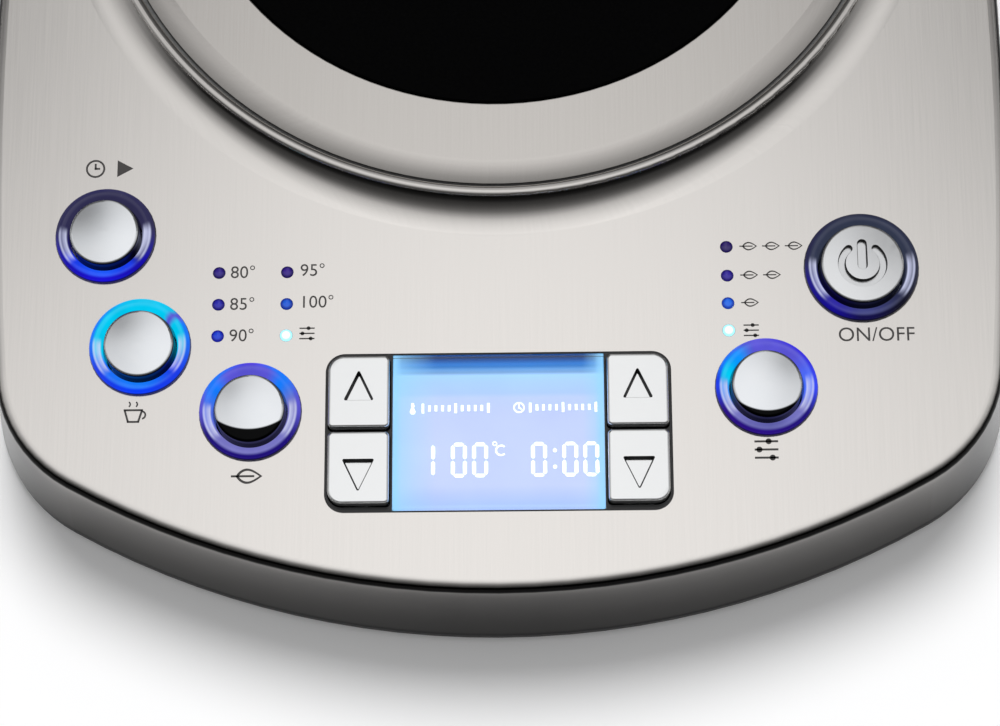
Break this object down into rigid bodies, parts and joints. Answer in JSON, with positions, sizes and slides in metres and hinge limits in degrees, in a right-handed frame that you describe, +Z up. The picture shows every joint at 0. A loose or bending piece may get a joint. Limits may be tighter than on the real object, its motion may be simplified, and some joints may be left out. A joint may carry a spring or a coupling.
{
  "type": "automatic tea maker power base",
  "caption": "Steel-decked power base of an automatic tea maker: round jug seat with cordless connector, lit push buttons, indicator windows and a display with arrow keys.",
  "frame": {"origin": "on the table, under the middle of the base's bounding box", "axes": "+Z up; the front edge with the display faces -Y; +X is the user's right, standing in front"},
  "size_m": [0.2098, 0.2702, 0.0438],
  "materials": {
    "brushed_steel": "brushed, fine straight grain",
    "grey_plastic": "matt",
    "black_plastic": "satin",
    "screw_steel": "zinc plated",
    "black_rubber": "matt",
    "black_satin": "satin",
    "connector_black": "satin",
    "contact_brass": "bright",
    "earth_steel": "polished",
    "switch_black": "matt",
    "lamp_white": "gloss",
    "clear_guide": "clear, polished ends",
    "panel_black": "gloss",
    "clear_window": "clear, gloss",
    "display_glass": "polished",
    "backlight_white": "matt diffuser",
    "circuit_board": "solder mask",
    "power_circuit_board": "bare laminate",
    "transformer_steel": "laminated",
    "relay_black": "moulded",
    "capacitor_sleeve": "shrink sleeve",
    "fuse_glass": "clear",
    "terminal_white": "moulded",
    "wire_insulation": "extruded",
    "ribbon_grey": "extruded",
    "light_ring": "clear, lit from below",
    "chrome_cap": "mirror",
    "satin_cap": "satin",
    "spring_steel": "bright",
    "plated_key": "satin plated",
    "dome_rubber": "matt"
  },
  "bodies": {
    "base": {"top_cover": "brushed_steel", "chassis": "grey_plastic", "base_pan": "black_plastic", "case_screws": "screw_steel", "rubber_feet": "black_rubber", "seat_plate": "brushed_steel", "seat_disc": "black_satin", "seat_gasket": "black_rubber", "connector_body": "connector_black", "contact_rings": "contact_brass", "earth_pin": "earth_steel", "connector_screws": "screw_steel", "left_button_guide": "grey_plastic", "right_button_guide": "grey_plastic", "left_switch_board": "circuit_board", "right_switch_board": "circuit_board", "button_switches": "switch_black", "lamps": "lamp_white", "left_indicator_guide": "clear_guide", "right_indicator_guide": "clear_guide", "panel_frame": "panel_black", "display_window": "clear_window", "display_glass": "display_glass", "backlight": "backlight_white", "display_board": "circuit_board", "power_board": "power_circuit_board", "transformer": "transformer_steel", "relay": "relay_black", "capacitors": "capacitor_sleeve", "fuse": "fuse_glass", "terminal_block": "terminal_white", "buzzer": "switch_black", "connector_wires": "wire_insulation", "ribbon_cables": "ribbon_grey", "cord_gland": "black_rubber", "auto_start_light_ring": "light_ring", "auto_start_spring": "spring_steel", "keep_warm_light_ring": "light_ring", "keep_warm_spring": "spring_steel", "tea_light_ring": "light_ring", "tea_spring": "spring_steel", "custom_light_ring": "light_ring", "custom_spring": "spring_steel", "power_light_ring": "light_ring", "power_spring": "spring_steel", "temperature_up_dome": "dome_rubber", "temperature_down_dome": "dome_rubber", "time_up_dome": "dome_rubber", "time_down_dome": "dome_rubber"},
    "auto_start_button": {"auto_start_button": "chrome_cap"},
    "keep_warm_button": {"keep_warm_button": "chrome_cap"},
    "tea_button": {"tea_button": "chrome_cap"},
    "custom_button": {"custom_button": "chrome_cap"},
    "power_button": {"power_button": "satin_cap"},
    "temperature_up_key": {"temperature_up_key": "plated_key"},
    "temperature_down_key": {"temperature_down_key": "plated_key"},
    "time_up_key": {"time_up_key": "plated_key"},
    "time_down_key": {"time_down_key": "plated_key"}
  },
  "joints": [
    {"name": "auto_start_press", "type": "slide", "parent": "base", "child": "auto_start_button", "axis": [0, 0, -1], "range_m": [0, 0.0012], "stiffness_N_per_m": 800, "springref_m": -0.0008, "deforming": ["auto_start_spring"]},
    {"name": "keep_warm_press", "type": "slide", "parent": "base", "child": "keep_warm_button", "axis": [0, 0, -1], "range_m": [0, 0.0012], "stiffness_N_per_m": 800, "springref_m": -0.0008, "deforming": ["keep_warm_spring"]},
    {"name": "tea_press", "type": "slide", "parent": "base", "child": "tea_button", "axis": [0, 0, -1], "range_m": [0, 0.0012], "stiffness_N_per_m": 800, "springref_m": -0.0008, "deforming": ["tea_spring"]},
    {"name": "custom_press", "type": "slide", "parent": "base", "child": "custom_button", "axis": [0, 0, -1], "range_m": [0, 0.0012], "stiffness_N_per_m": 800, "springref_m": -0.0008, "deforming": ["custom_spring"]},
    {"name": "power_press", "type": "slide", "parent": "base", "child": "power_button", "axis": [0, 0, -1], "range_m": [0, 0.0012], "stiffness_N_per_m": 800, "springref_m": -0.0008, "deforming": ["power_spring"]},
    {"name": "temperature_up_press", "type": "slide", "parent": "base", "child": "temperature_up_key", "axis": [0, 0, -1], "range_m": [0, 0.0008], "stiffness_N_per_m": 900, "springref_m": -0.0008, "deforming": ["temperature_up_dome"]},
    {"name": "temperature_down_press", "type": "slide", "parent": "base", "child": "temperature_down_key", "axis": [0, 0, -1], "range_m": [0, 0.0008], "stiffness_N_per_m": 900, "springref_m": -0.0008, "deforming": ["temperature_down_dome"]},
    {"name": "time_up_press", "type": "slide", "parent": "base", "child": "time_up_key", "axis": [0, 0, -1], "range_m": [0, 0.0008], "stiffness_N_per_m": 900, "springref_m": -0.0008, "deforming": ["time_up_dome"]},
    {"name": "time_down_press", "type": "slide", "parent": "base", "child": "time_down_key", "axis": [0, 0, -1], "range_m": [0, 0.0008], "stiffness_N_per_m": 900, "springref_m": -0.0008, "deforming": ["time_down_dome"]}
  ]
}
